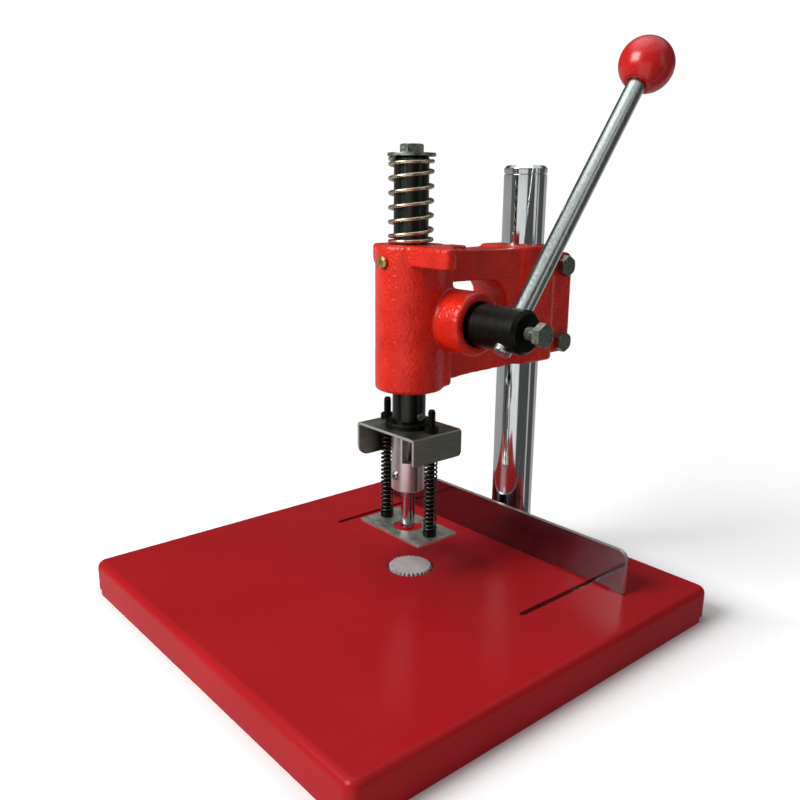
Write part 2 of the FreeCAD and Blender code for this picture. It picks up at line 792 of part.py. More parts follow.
# Compression spring of round wire about an upright axis, its end turns closed, as one unbroken tube.
def coil_spring(outer, wire, turns, start_angle, low, high, x, y, steps_per_turn):
    radius = outer - wire / 2.0
    level_share = max(0.25, 1.0 / steps_per_turn) / 2.0
    closing_pitch = (wire + smallest_coil_gap) / (1.0 - level_share)
    steps = int(round(turns * steps_per_turn))
    step = turns / steps
    places = [i * step for i in range(steps + 1)]
    closed = [closing_pitch * climb(place, turns) for place in places]
    opened = [openness(place, turns) for place in places]
    closed_rise = sum((closed[i] + closed[i + 1]) * step / 2.0 for i in range(steps))
    opened_rise = sum((opened[i] + opened[i + 1]) * step / 2.0 for i in range(steps))
    extra_pitch = (high - low - wire - closed_rise) / opened_rise
    pitches = [closed[i] + extra_pitch * opened[i] for i in range(steps + 1)]
    points = []
    ways = []
    height = low + wire / 2.0
    for i in range(steps + 1):
        if i > 0:
            height = height + (pitches[i - 1] + pitches[i]) * step / 2.0
        angle = start_angle + 2.0 * math.pi * places[i]
        points.append(V(x + radius * math.cos(angle), y + radius * math.sin(angle), height))
        way = V(-math.sin(angle), math.cos(angle), pitches[i] / (2.0 * math.pi * radius))
        ways.append(way.normalize())
    start = points[0] - ways[0] * wire
    end = points[-1] + ways[-1] * wire
    edges = [Part.makeLine(start, points[0])]
    for i in range(steps):
        edges = edges + two_arcs(points[i], ways[i], points[i + 1], ways[i + 1])
    edges.append(Part.makeLine(points[-1], end))
    path = Part.Wire(edges)
    section = Part.Wire([Part.makeCircle(wire / 2.0, start, ways[0])])
    spring = path.makePipeShell([section], True, False)
    print("spring wire %.1f: least gap between turns %.2f" % (wire, least_gap(path, wire, radius)))
    return spring


# Least distance between the wire's surfaces on neighbouring turns, measured on points along its middle.
def least_gap(path, wire, radius):
    spacing = radius / 5.0
    points = path.discretize(Distance=spacing)
    half_turn = int(math.pi * radius / spacing)
    whole_turn = 2 * half_turn
    gap = 1000.0
    for i in range(len(points)):
        for j in range(i + half_turn, min(i + whole_turn + half_turn, len(points))):
            gap = min(gap, points[i].distanceToPoint(points[j]) - wire)
    return gap


def return_spring():
    return coil_spring(return_spring_outer, return_wire, return_turns, return_start, head_top, ram_top,
                       0, ram_y, 4)


def pressure_spring(side):
    return coil_spring(pressure_spring_outer, pressure_wire, pressure_turns, 0.0,
                       plate_bottom + plate_thickness + m5_nut, bracket_top - bracket_sheet, side * rod_x, ram_y, 2)


def involute_angle(radius, base_radius):
    slant = math.acos(base_radius / radius)
    return math.tan(slant) - slant


# Outline of the pinion across its axis, with a gap between two teeth turned towards the ram.
def pinion_face():
    base_radius = pitch_radius * math.cos(pressure_angle)
    tip_radius = pitch_radius + gear_module
    root_radius = pitch_radius - 1.25 * gear_module
    flank_radii = (base_radius + 0.01, pitch_radius, (pitch_radius + tip_radius) / 2.0, tip_radius)
    half_at_pitch = math.pi / (2.0 * pinion_teeth) - backlash / (2.0 * pitch_radius)
    turn_at_pitch = half_at_pitch + involute_angle(pitch_radius, base_radius)
    flank = [(root_radius, turn_at_pitch)]
    for radius in flank_radii:
        flank.append((radius, turn_at_pitch - involute_angle(radius, base_radius)))
    points = []
    for tooth in range(pinion_teeth):
        middle = math.pi + (tooth + 0.5) * 2.0 * math.pi / pinion_teeth
        for radius, turn in flank:
            points.append((radius, middle - turn))
        for radius, turn in reversed(flank):
            points.append((radius, middle + turn))
    corners = [V(-toothed_half_length, pinion_y + radius * math.cos(angle), pinion_z + radius * math.sin(angle))
               for radius, angle in points]
    return Part.Face(Part.makePolygon(corners + corners[:1]))


# One bar: journal, pinion teeth, bearing length, a short neck and the hub that the lever goes through.
def pinion_shaft():
    teeth = pinion_face().extrude(V(2 * toothed_half_length, 0, 0))
    hub = turned([(0, toothed_half_length), (bearing_radius, toothed_half_length), (bearing_radius, bearing_end),
                  (neck_radius, bearing_end), (neck_radius, hub_start), (hub_radius - 0.6, hub_start),
                  (hub_radius, hub_start + 0.6), (hub_radius, hub_end - hub_chamfer),
                  (hub_radius - hub_chamfer, hub_end), (0, hub_end)])
    hub = aimed(hub, V(1, 0, 0), V(0, pinion_y, pinion_z))
    journal = bar_x(journal_radius, journal_end, -toothed_half_length, pinion_y, pinion_z)
    lever_hole = Part.makeCylinder(lever_radius + thread_gap, 4 * hub_radius,
                                   V(lever_x, pinion_y, pinion_z) - lever_way() * (2 * hub_radius), lever_way())
    bolt_hole = bar_x(m8_radius + thread_gap, lever_x, hub_end + 1, pinion_y, pinion_z)
    screw_hole = bar_x(m5_radius + thread_gap, journal_end - 1, journal_end + 12.0, pinion_y, pinion_z)
    return hub.fuse([teeth, journal]).cut([lever_hole, bolt_hole, screw_hole])


def lever_way():
    return V(0, math.sin(lever_lean), math.cos(lever_lean))


def shaft_washer():
    washer = ring(journal_radius + 4.0, m5_radius + 0.3, 0, 1.6)
    return aimed(washer, V(-1, 0, 0), V(journal_end, pinion_y, pinion_z))


def shaft_screw():
    screw = hex_bolt(m5_flats, 3.5, m5_radius, 10.0)
    return aimed(screw, V(-1, 0, 0), V(journal_end - 1.6, pinion_y, pinion_z))


def lever_rod():
    tip = 1.2
    top = lever_length - knob_flat + 9.0
    rod = turned([(0, -lever_tail), (lever_radius - tip, -lever_tail), (lever_radius, tip - lever_tail),
                  (lever_radius, top), (0, top)])
    return aimed(rod, lever_way(), V(lever_x, pinion_y, pinion_z))


def lever_knob():
    centre = lever_length
    ball = Part.makeSphere(knob_radius, V(0, 0, centre))
    below = post(knob_radius + 1, centre - knob_radius - 1, centre - knob_flat)
    hole = post(lever_radius + thread_gap, centre - knob_radius - 1, centre - knob_flat + 9.2)
    return aimed(ball.cut([below, hole]), lever_way(), V(lever_x, pinion_y, pinion_z))


def lever_bolt():
    seat = hub_end + lever_bolt_standoff
    bolt = hex_bolt(m8_flats, m8_head, m8_radius, seat - lever_x - lever_radius)
    return aimed(bolt, V(1, 0, 0), V(seat, pinion_y, pinion_z))


def all_pieces():
    return {
        "base_pan": base_pan(),
        "backing_plate": backing_plate(),
        "column": column(),
        "column_washer": column_washer(),
        "column_nut": column_nut(),
        "anvil_seat": anvil_seat(),
        "cutting_pad": cutting_pad(),
        "fence_plate": fence_plate(),
        "fence_clamps": fence_clamps(),
        "fence_screws": fence_screws(),
        "head_casting": head_casting(),
        "guide_screw": guide_screw(),
        "clamp_bolts": clamp_bolts(),
        "clamp_washers": clamp_washers(),
        "clamp_nuts": clamp_nuts(),
        "return_spring": return_spring(),
        "ram_rack": ram_rack(),
        "ram_flange": ram_flange(),
        "ram_lock_screw": ram_lock_screw(),
        "top_washer": top_washer(),
        "top_bolt": top_bolt(),
        "channel_bracket": channel_bracket(),
        "punch_holder": punch_holder(),
        "holder_set_screw": holder_set_screw(),
        "punch_tube": punch_tube(),
        "punch_collar": punch_collar(),
        "pressure_spring_left": pressure_spring(-1),
        "pressure_spring_right": pressure_spring(1),
        "stripper_plate": stripper_plate(),
        "guide_rods": guide_rods(),
        "rod_stop_nuts": rod_nuts(bracket_top),
        "rod_foot_nuts": rod_nuts(plate_bottom + plate_thickness),
        "pinion_shaft": pinion_shaft(),
        "shaft_washer": shaft_washer(),
        "shaft_screw": shaft_screw(),
        "lever_rod": lever_rod(),
        "lever_knob": lever_knob(),
        "lever_bolt": lever_bolt(),
    }


os.makedirs("parts", exist_ok=True)
for name, shape in all_pieces().items():
    for solid in shape.Solids:
        if not solid.isValid():
            print("not valid:", name)
    shape.exportStep("parts/%s.step" % name)
    print("%-22s %2d solid(s) %10.0f mm3" % (name, len(shape.Solids), shape.Volume))
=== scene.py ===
import json
import math
import bpy
from mathutils import Matrix, Vector


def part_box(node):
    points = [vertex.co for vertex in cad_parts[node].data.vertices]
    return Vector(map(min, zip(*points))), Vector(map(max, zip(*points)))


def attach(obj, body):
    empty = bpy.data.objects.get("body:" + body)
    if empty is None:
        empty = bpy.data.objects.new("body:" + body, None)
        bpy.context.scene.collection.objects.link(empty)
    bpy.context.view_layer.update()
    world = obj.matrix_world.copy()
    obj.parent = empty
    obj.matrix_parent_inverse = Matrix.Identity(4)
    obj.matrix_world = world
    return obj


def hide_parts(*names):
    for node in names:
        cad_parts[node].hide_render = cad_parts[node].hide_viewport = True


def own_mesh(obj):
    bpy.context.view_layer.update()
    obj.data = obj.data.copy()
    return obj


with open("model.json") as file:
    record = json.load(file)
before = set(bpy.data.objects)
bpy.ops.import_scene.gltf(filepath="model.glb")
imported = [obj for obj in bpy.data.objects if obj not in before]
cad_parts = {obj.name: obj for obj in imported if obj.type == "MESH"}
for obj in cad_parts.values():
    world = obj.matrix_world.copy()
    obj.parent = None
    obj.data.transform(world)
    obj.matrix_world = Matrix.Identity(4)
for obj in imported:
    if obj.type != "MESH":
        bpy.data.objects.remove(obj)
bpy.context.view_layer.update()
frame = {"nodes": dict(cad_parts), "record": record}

mm = 0.001
print("frame loaded:", len(frame["nodes"]), "nodes")


# studio: camera, lamps, the white round about and the floor; lengths are in metres

studio = {
    "eye": (396.96 * mm, -335.47 * mm, 278.82 * mm),
    "azimuth": 49.408,           # degrees from straight in front towards the right
    "pitch": 14.304,             # degrees downwards
    "roll": 0.481,
    "lens": 37.06,
    "sensor": 36.0,
    "seenFrom": 0.01,            # the camera sees between these two distances
    "seenTo": 50.0,
    "floorColour": "#FFFFFF",
    "floorSize": 2.4,
    "floorFade": (0.26, 0.58),   # the floor thins out between these distances from the middle
    "floorLift": 0.34,           # white for the camera alone, so floor and backdrop meet unseen
    "floorShade": (0.151, 0.21), # no lift up to the base's side, all of it from the second on
    "ambient": 0.20,
    "lampColour": "#FFFFFF",
    "lampTarget": (0.0, 0.05, 0.15),
    # name: where it stands, how many watts, its width and height
    "lamps": {
        "frontSoftbox": ((-0.30, -1.20, 1.00), 25.0, 0.8, 0.8),
        "overheadSoftbox": ((-0.15, 0.05, 1.30), 2.4, 0.8, 0.8),
        "sideStrip": ((1.2, 0.35, 0.6), 0.6, 0.3, 0.9),
    },
    # the ring of cloths that polished metal sees, from straight in front towards the right:
    # degrees, brightness
    "around": [(-180, 0.45), (-36, 0.45), (-31, 0.12), (-6, 0.12), (2, 1.0), (50, 1.0),
               (56, 0.09), (112, 0.09), (115, 0.6), (121, 0.6), (124, 0.09), (158, 0.09),
               (168, 0.5), (180, 0.5)],
    # the cloths above the ring: sine of the height angle, brightness
    "upwards": [(0.0, 0.09), (0.60, 0.09), (0.74, 0.9), (1.0, 0.9)],
    "ringHeight": 0.09,          # the ring gives way to the upper cloths up to this sine
}
white = (1.0, 1.0, 1.0, 1.0)


def linearColour(hexText):
    values = []
    for start in (1, 3, 5):
        part = int(hexText[start:start + 2], 16) / 255.0
        values.append(part / 12.92 if part <= 0.04045 else ((part + 0.055) / 1.055) ** 2.4)
    return (values[0], values[1], values[2], 1.0)


def addNode(tree, kind, settings=None, links=None):
    node = tree.nodes.new(kind)
    for name, value in (settings or {}).items():
        if isinstance(name, int) or name in node.inputs:
            node.inputs[name].default_value = value
        else:
            setattr(node, name, value)
    for name, source in (links or {}).items():
        tree.links.new(source, node.inputs[name])
    return node


# colour stops are (place from 0 to 1, linear colour)
def setStops(ramp, stops):
    elements = ramp.color_ramp.elements
    elements[0].position, elements[0].color = stops[0]
    elements[-1].position, elements[-1].color = stops[-1]
    for place, colour in stops[1:-1]:
        elements.new(place).color = colour


def greyStops(pairs, low, high):
    return [((place - low) / (high - low), (value, value, value, 1.0)) for place, value in pairs]


def aimCamera():
    azimuth = math.radians(studio["azimuth"])
    pitch = math.radians(studio["pitch"])
    roll = math.radians(studio["roll"])
    ahead = Vector((-math.sin(azimuth) * math.cos(pitch), math.cos(azimuth) * math.cos(pitch),
                    -math.sin(pitch)))
    level = Vector((math.cos(azimuth), math.sin(azimuth), 0.0))
    upright = level.cross(ahead)
    right = level * math.cos(roll) + upright * math.sin(roll)
    up = upright * math.cos(roll) - level * math.sin(roll)
    bpy.ops.object.camera_add(location=studio["eye"])
    camera = bpy.context.object
    camera.name = "photoCamera"
    turn = Matrix((right, up, -ahead)).transposed().to_4x4()
    camera.matrix_world = Matrix.Translation(Vector(studio["eye"])) @ turn
    camera.data.sensor_width = studio["sensor"]
    camera.data.lens = studio["lens"]
    camera.data.clip_start = studio["seenFrom"]
    camera.data.clip_end = studio["seenTo"]
    bpy.context.scene.camera = camera


def placeLamps():
    for name, (place, watts, width, height) in studio["lamps"].items():
        bpy.ops.object.light_add(type="AREA", location=place)
        lamp = bpy.context.object
        lamp.name = name
        lamp.data.shape = "RECTANGLE"
        lamp.data.size = width
        lamp.data.size_y = height
        lamp.data.energy = watts
        lamp.data.color = linearColour(studio["lampColour"])[:3]
        toTarget = Vector(studio["lampTarget"]) - Vector(place)
        lamp.rotation_euler = toTarget.to_track_quat("-Z", "Y").to_euler()


# plain white to the eye, a tent of white and dark cloths to polished metal
def lightWorld():
    world = bpy.data.worlds.new("studioWorld")
    bpy.context.scene.world = world
    world.use_nodes = True
    tree = world.node_tree
    tree.nodes.clear()
    way = addNode(tree, "ShaderNodeTexCoord").outputs["Generated"]
    parts = addNode(tree, "ShaderNodeSeparateXYZ", {}, {0: way})
    forwards = addNode(tree, "ShaderNodeMath", {"operation": "MULTIPLY", 1: -1.0},
                       {0: parts.outputs["Y"]})
    bearing = addNode(tree, "ShaderNodeMath", {"operation": "ARCTAN2"},
                      {0: parts.outputs["X"], 1: forwards.outputs[0]})
    share = addNode(tree, "ShaderNodeMapRange", {"From Min": -math.pi, "From Max": math.pi},
                    {"Value": bearing.outputs[0]})
    around = addNode(tree, "ShaderNodeValToRGB", {}, {"Fac": share.outputs["Result"]})
    setStops(around, greyStops(studio["around"], -180.0, 180.0))
    upwards = addNode(tree, "ShaderNodeValToRGB", {}, {"Fac": parts.outputs["Z"]})
    setStops(upwards, greyStops(studio["upwards"], 0.0, 1.0))
    rise = addNode(tree, "ShaderNodeMapRange", {"From Min": 0.0, "From Max": studio["ringHeight"]},
                   {"Value": parts.outputs["Z"]})
    tent = addNode(tree, "ShaderNodeMix", {"data_type": "FLOAT"},
                   {"Factor": rise.outputs["Result"], "A": around.outputs["Color"],
                    "B": upwards.outputs["Color"]})
    path = addNode(tree, "ShaderNodeLightPath")
    lit = addNode(tree, "ShaderNodeMix", {"data_type": "FLOAT", "A": studio["ambient"]},
                  {"Factor": path.outputs["Is Glossy Ray"], "B": tent.outputs["Result"]})
    direct = addNode(tree, "ShaderNodeMath", {"operation": "MAXIMUM"},
                     {0: path.outputs["Is Camera Ray"], 1: path.outputs["Is Transmission Ray"]})
    strength = addNode(tree, "ShaderNodeMath", {"operation": "MAXIMUM"},
                       {0: lit.outputs["Result"], 1: direct.outputs[0]})
    background = addNode(tree, "ShaderNodeBackground", {"Color": white},
                         {"Strength": strength.outputs[0]})
    addNode(tree, "ShaderNodeOutputWorld", {}, {"Surface": background.outputs["Background"]})


# white paper that thins out into the backdrop, so no horizon shows; gloss sees the tent through it
def layFloor():
    bpy.ops.mesh.primitive_plane_add(size=studio["floorSize"], location=(0, 0, 0))
    floor = bpy.context.object
    floor.name = "studioFloor"
    material = bpy.data.materials.new("whitePaper")
    material.use_nodes = True
    tree = material.node_tree
    tree.nodes.clear()
    place = addNode(tree, "ShaderNodeTexCoord").outputs["Object"]
    path = addNode(tree, "ShaderNodeLightPath")
    near, far = studio["floorFade"]
    distance = addNode(tree, "ShaderNodeVectorMath", {"operation": "LENGTH"}, {0: place})
    fade = addNode(tree, "ShaderNodeMapRange",
                   {"interpolation_type": "SMOOTHSTEP", "From Min": near, "From Max": far},
                   {"Value": distance.outputs["Value"]})
    parts = addNode(tree, "ShaderNodeSeparateXYZ", {}, {0: place})
    sideways = addNode(tree, "ShaderNodeMath", {"operation": "ABSOLUTE"}, {0: parts.outputs["X"]})
    lengthways = addNode(tree, "ShaderNodeMath", {"operation": "ABSOLUTE"},
                         {0: parts.outputs["Y"]})
    outwards = addNode(tree, "ShaderNodeMath", {"operation": "MAXIMUM"},
                       {0: sideways.outputs[0], 1: lengthways.outputs[0]})
    start, end = studio["floorShade"]
    beside = addNode(tree, "ShaderNodeMapRange",
                     {"From Min": start, "From Max": end, "To Min": 0.0,
                      "To Max": studio["floorLift"]}, {"Value": outwards.outputs[0]})
    lift = addNode(tree, "ShaderNodeMath", {"operation": "MULTIPLY"},
                   {0: path.outputs["Is Camera Ray"], 1: beside.outputs["Result"]})
    paper = addNode(tree, "ShaderNodeBsdfDiffuse", {"Color": linearColour(studio["floorColour"])})
    glow = addNode(tree, "ShaderNodeEmission", {"Color": white}, {"Strength": lift.outputs[0]})
    lifted = addNode(tree, "ShaderNodeAddShader", {}, {0: paper.outputs[0], 1: glow.outputs[0]})
    clear = addNode(tree, "ShaderNodeBsdfTransparent")
    unseen = addNode(tree, "ShaderNodeMath", {"operation": "MAXIMUM"},
                     {0: fade.outputs["Result"], 1: path.outputs["Is Glossy Ray"]})
    mixed = addNode(tree, "ShaderNodeMixShader", {},
                    {0: unseen.outputs[0], 1: lifted.outputs[0], 2: clear.outputs[0]})
    addNode(tree, "ShaderNodeOutputMaterial", {}, {"Surface": mixed.outputs[0]})
    floor.data.materials.append(material)


bpy.context.scene.view_settings.view_transform = "Standard"
aimCamera()
placeLamps()
lightWorld()
layFloor()
print("studio ready")


# finishes

noiseSpan = (0.3, 0.7)       # nearly all of a noise texture's values lie between these


def startMaterial(name, shaderSettings):
    material = bpy.data.materials.new(name)
    material.use_nodes = True
    tree = material.node_tree
    shader = tree.nodes["Principled BSDF"]
    for setting, value in shaderSettings.items():
        shader.inputs[setting].default_value = value
    place = addNode(tree, "ShaderNodeTexCoord").outputs["Object"]
    return material, tree, shader, place


# two shades of one colour spread by a pattern
def mottle(tree, shader, pattern, dark, light, span=noiseSpan):
    shades = addNode(tree, "ShaderNodeValToRGB", {}, {"Fac": pattern})
    setStops(shades, [(span[0], linearColour(dark)), (span[1], linearColour(light))])
    tree.links.new(shades.outputs["Color"], shader.inputs["Base Color"])


# roughness spread by a pattern
def roughen(tree, shader, pattern, smoothest, roughest):
    gloss = addNode(tree, "ShaderNodeMapRange",
                    {"From Min": noiseSpan[0], "From Max": noiseSpan[1],
                     "To Min": smoothest, "To Max": roughest}, {"Value": pattern})
    tree.links.new(gloss.outputs["Result"], shader.inputs["Roughness"])


# stove enamel sprayed on sheet steel: even deep red with a soft gloss and a faint orange peel
enamel = {
    "deep": "#A0141A", "light": "#AC181F", "cloudSize": 90 * mm, "cloudDetail": 3.0,
    "peelSize": 1.6 * mm, "peelDetail": 1.0, "peelHeight": 0.02 * mm, "peelStrength": 0.3,
    "shader": {"Roughness": 0.30, "IOR": 1.5, "Specular IOR Level": 0.14},
}


def bakedEnamel():
    material, tree, shader, place = startMaterial("redStoveEnamel", enamel["shader"])
    cloud = addNode(tree, "ShaderNodeTexNoise", {"Scale": 1.0 / enamel["cloudSize"],
                                                 "Detail": enamel["cloudDetail"]},
                    {"Vector": place})
    mottle(tree, shader, cloud.outputs["Fac"], enamel["deep"], enamel["light"])
    peel = addNode(tree, "ShaderNodeTexNoise", {"Scale": 1.0 / enamel["peelSize"],
                                                "Detail": enamel["peelDetail"]},
                   {"Vector": place})
    peeled = addNode(tree, "ShaderNodeBump", {"Strength": enamel["peelStrength"],
                                              "Distance": enamel["peelHeight"]},
                     {"Height": peel.outputs["Fac"]})
    tree.links.new(peeled.outputs["Normal"], shader.inputs["Normal"])
    return material


# hammered enamel on sand-cast iron: orange red, grain and small pits break up its gloss
# the sand's real grain is about 0.3 mm and is drawn coarser, so that it shows
hammer = {
    "deep": "#C81A09", "light": "#E22A13", "cloudSize": 14 * mm, "cloudDetail": 4.0,
    "pitSize": 1.8 * mm, "pitDetail": 1.5, "pitRoughness": 0.4, "pitHeight": 0.66 * mm,
    "pitStrength": 0.8, "sandSize": 0.8 * mm, "sandDetail": 2.0, "sandHeight": 0.26 * mm,
    "sandStrength": 0.6, "smoothest": 0.16, "roughest": 0.36,
    "shader": {"IOR": 1.5, "Specular IOR Level": 0.4},
}


def hammeredEnamel():
    material, tree, shader, place = startMaterial("redHammeredEnamel", hammer["shader"])
    cloud = addNode(tree, "ShaderNodeTexNoise", {"Scale": 1.0 / hammer["cloudSize"],
                                                 "Detail": hammer["cloudDetail"]},
                    {"Vector": place})
    mottle(tree, shader, cloud.outputs["Fac"], hammer["deep"], hammer["light"])
    pits = addNode(tree, "ShaderNodeTexNoise", {"Scale": 1.0 / hammer["pitSize"],
                                                "Detail": hammer["pitDetail"],
                                                "Roughness": hammer["pitRoughness"]},
                   {"Vector": place})
    sand = addNode(tree, "ShaderNodeTexNoise", {"Scale": 1.0 / hammer["sandSize"],
                                                "Detail": hammer["sandDetail"]},
                   {"Vector": place})
    pitted = addNode(tree, "ShaderNodeBump", {"Strength": hammer["pitStrength"],
                                              "Distance": hammer["pitHeight"]},
                     {"Height": pits.outputs["Fac"]})
    sanded = addNode(tree, "ShaderNodeBump", {"Strength": hammer["sandStrength"],
                                              "Distance": hammer["sandHeight"]},
                     {"Height": sand.outputs["Fac"], "Normal": pitted.outputs["Normal"]})
    tree.links.new(sanded.outputs["Normal"], shader.inputs["Normal"])
    roughen(tree, shader, sand.outputs["Fac"], hammer["smoothest"], hammer["roughest"])
    return material


# metals that differ only in colour, polish and grain
# real grain is finer than a tenth of a millimetre and is drawn as coarse as it needs to show
# name: dark and light shade, roughness from and to, grain size along X, Y and Z, grain height
metals = {
    # polished hard chrome: bright with the faintest rub marks along the bar
    "hardChrome": ("#C2C6C8", "#D8DBDC", 0.05, 0.12, (0.8 * mm, 0.8 * mm, 18 * mm), 0.0005 * mm),
    # satin chrome on the lever: greyer, its reflections drawn soft
    "satinChrome": ("#A2AAA8", "#C2C8C6", 0.16, 0.26, (1.2 * mm, 1.2 * mm, 9 * mm), 0.002 * mm),
    # stainless sheet with a mill polish: a dim mirror with a grey haze
    "polishedStainless": ("#888A90", "#989AA0", 0.08, 0.15, (16 * mm, 2 * mm, 0.8 * mm),
                          0.001 * mm),
    # dull zinc from a plating barrel: mottled grey with a green cast
    "barrelZinc": ("#747A6E", "#A9AEA1", 0.28, 0.46, (1.8 * mm, 1.8 * mm, 1.8 * mm), 0.01 * mm),
    # yellow passivated zinc: brassy, with pale patches
    "yellowZinc": ("#A88B4A", "#D9C38A", 0.22, 0.38, (1.2 * mm, 1.2 * mm, 1.2 * mm), 0.006 * mm),
    # bare rolled sheet, oiled: grey green, its grain along the strip
    "rolledSteel": ("#80867A", "#A0A699", 0.34, 0.48, (14 * mm, 14 * mm, 0.5 * mm), 0.004 * mm),
    # sheet steel drawn paler than the rolled sheet: the paler shade is painted light; it is also
    # duller, so it takes light from all round
    "pickledSteel": ("#9A9F93", "#C3C7BB", 0.44, 0.58, (7 * mm, 2 * mm, 2 * mm), 0.010 * mm),
    # edge of a freshly cut sheet, scratched: bare metal, drawn near white as a painted highlight
    "cutEdge": ("#D0D2CE", "#F0F1EE", 0.30, 0.44, (0.5 * mm, 0.5 * mm, 3 * mm), 0.006 * mm),
    # lathe-turned and polished bar: fine rings round the axis; its pinkish tint is a painted
    # reflection of the red base
    "turnedSteel": ("#D3C9C7", "#E3DBD9", 0.28, 0.38, (30 * mm, 30 * mm, 0.35 * mm), 0.002 * mm),
    # ground tool steel: smooth and grey, with faint rings
    "groundSteel": ("#A9ABAE", "#C6C8CA", 0.08, 0.16, (12 * mm, 12 * mm, 0.3 * mm), 0.001 * mm),
    # chemically blackened steel: near black with an oily satin, turned rings along X
    "blackOxide": ("#1A1B19", "#2B2B27", 0.34, 0.50, (0.5 * mm, 9 * mm, 9 * mm), 0.003 * mm),
    # blackened round bar with its drawing grain along Z
    "blackBar": ("#262927", "#43453F", 0.24, 0.36, (0.7 * mm, 0.7 * mm, 22 * mm), 0.002 * mm),
    # oil-blackened spring wire, rubbed grey in places
    "blackWire": ("#22221F", "#5C5A53", 0.16, 0.28, (1.2 * mm, 1.2 * mm, 1.2 * mm), 0.002 * mm),
    # zinc on spring wire, warmed by its chromate film
    "zincWire": ("#B3A78D", "#D9CFB8", 0.22, 0.34, (3 * mm, 3 * mm, 3 * mm), 0.002 * mm),
}
metalGrain = {"detail": 3.0, "strength": 0.4}


def metal(name):
    dark, light, smoothest, roughest, grain, height = metals[name]
    material, tree, shader, place = startMaterial(name, {"Metallic": 1.0})
    stretch = addNode(tree, "ShaderNodeMapping", {"Scale": tuple(1.0 / size for size in grain)},
                      {"Vector": place})
    streaks = addNode(tree, "ShaderNodeTexNoise", {"Scale": 1.0, "Detail": metalGrain["detail"]},
                      {"Vector": stretch.outputs["Vector"]})
    mottle(tree, shader, streaks.outputs["Fac"], dark, light)
    roughen(tree, shader, streaks.outputs["Fac"], smoothest, roughest)
    scratched = addNode(tree, "ShaderNodeBump", {"Strength": metalGrain["strength"],
                                                 "Distance": height},
                        {"Height": streaks.outputs["Fac"]})
    tree.links.new(scratched.outputs["Normal"], shader.inputs["Normal"])
    return material


# compression-moulded phenolic ball: deep red, softly glossy
phenol = {
    "deep": "#C01418", "light": "#CC1C1C", "swirlSize": 16 * mm, "swirlDetail": 2.0,
    "shader": {"Roughness": 0.26, "IOR": 1.6, "Specular IOR Level": 0.4},
}


def phenolic():
    material, tree, shader, place = startMaterial("redPhenolic", phenol["shader"])
    swirl = addNode(tree, "ShaderNodeTexNoise", {"Scale": 1.0 / phenol["swirlSize"],
                                                 "Detail": phenol["swirlDetail"]},
                    {"Vector": place})
    mottle(tree, shader, swirl.outputs["Fac"], phenol["deep"], phenol["light"])
    return material


# cast nylon disc: milky grey white, with turned rings on its face and scuffs
nylonDisc = {
    "dark": "#B2ACAD", "light": "#C1BBBC", "scuffSize": 5 * mm, "scuffDetail": 4.0,
    "scuffSpan": (0.3, 0.65), "ringPitch": 1.1 * mm, "ringHeight": 0.03 * mm,
    "ringStrength": 0.5, "ringWobble": 0.5,
    "ringUnit": 0.31,            # rings of a wave texture of scale 1 lie this far apart
    "shader": {"Roughness": 0.45, "IOR": 1.53, "Subsurface Weight": 0.1,
               "Subsurface Scale": 1.0 * mm},
}


def nylon():
    material, tree, shader, place = startMaterial("castNylon", nylonDisc["shader"])
    low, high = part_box("cutting_pad")
    middle = (Vector(low) + Vector(high)) / 2.0
    centred = addNode(tree, "ShaderNodeMapping", {"Location": (-middle.x, -middle.y, 0.0)},
                      {"Vector": place})
    rings = addNode(tree, "ShaderNodeTexWave",
                    {"wave_type": "RINGS", "rings_direction": "Z",
                     "Scale": nylonDisc["ringUnit"] / nylonDisc["ringPitch"],
                     "Distortion": nylonDisc["ringWobble"]},
                    {"Vector": centred.outputs["Vector"]})
    scuffs = addNode(tree, "ShaderNodeTexNoise", {"Scale": 1.0 / nylonDisc["scuffSize"],
                                                  "Detail": nylonDisc["scuffDetail"]},
                     {"Vector": place})
    mottle(tree, shader, scuffs.outputs["Fac"], nylonDisc["dark"], nylonDisc["light"],
           nylonDisc["scuffSpan"])
    turned = addNode(tree, "ShaderNodeBump", {"Strength": nylonDisc["ringStrength"],
                                              "Distance": nylonDisc["ringHeight"]},
                     {"Height": rings.outputs["Fac"]})
    tree.links.new(turned.outputs["Normal"], shader.inputs["Normal"])
    return material


finishes = {name: metal(name) for name in metals}
finishes["redStoveEnamel"] = bakedEnamel()
finishes["redHammeredEnamel"] = hammeredEnamel()
finishes["redPhenolic"] = phenolic()
finishes["castNylon"] = nylon()
print("finishes ready:", len(finishes))


# ways of working that the pieces share; lengths are in millimetres

shaping = {
    "mergeDistance": 0.0005,
    "flatAngle": 0.4,            # triangles closer than this to one plane become one face
    "edgeSegments": 2,
    "edgeAngle": 32.0,
    "smoothAngle": 35.0,
    "faceWeight": 90,            # keeps broken edges from bending the gloss of the faces beside
}
thread = {"depth": 0.55, "crestFrom": 0.42, "crestTo": 0.58}      # in pitches

bodyOf = {}
for bodyName, members in frame["record"]["behaviour"]["bodies"].items():
    for member in members:
        bodyOf[member] = bodyName


# a node's lowest corner, highest corner and middle
def nodeBox(node):
    low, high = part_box(node)
    low, high = Vector(low) / mm, Vector(high) / mm
    return low, high, (low + high) / 2.0


def selectOnly(*chosen):
    bpy.ops.object.select_all(action="DESELECT")
    for piece in chosen:
        piece.select_set(True)
    bpy.context.view_layer.objects.active = chosen[0]


def editAll(piece):
    selectOnly(piece)
    bpy.ops.object.mode_set(mode="EDIT")
    bpy.ops.mesh.select_all(action="SELECT")


def endEdit():
    bpy.ops.object.mode_set(mode="OBJECT")


def applyModifiers(piece):
    selectOnly(piece)
    for modifier in list(piece.modifiers):
        bpy.ops.object.modifier_apply(modifier=modifier.name)


def applyPlace(piece):
    selectOnly(piece)
    bpy.ops.object.transform_apply(location=True, rotation=True, scale=True)


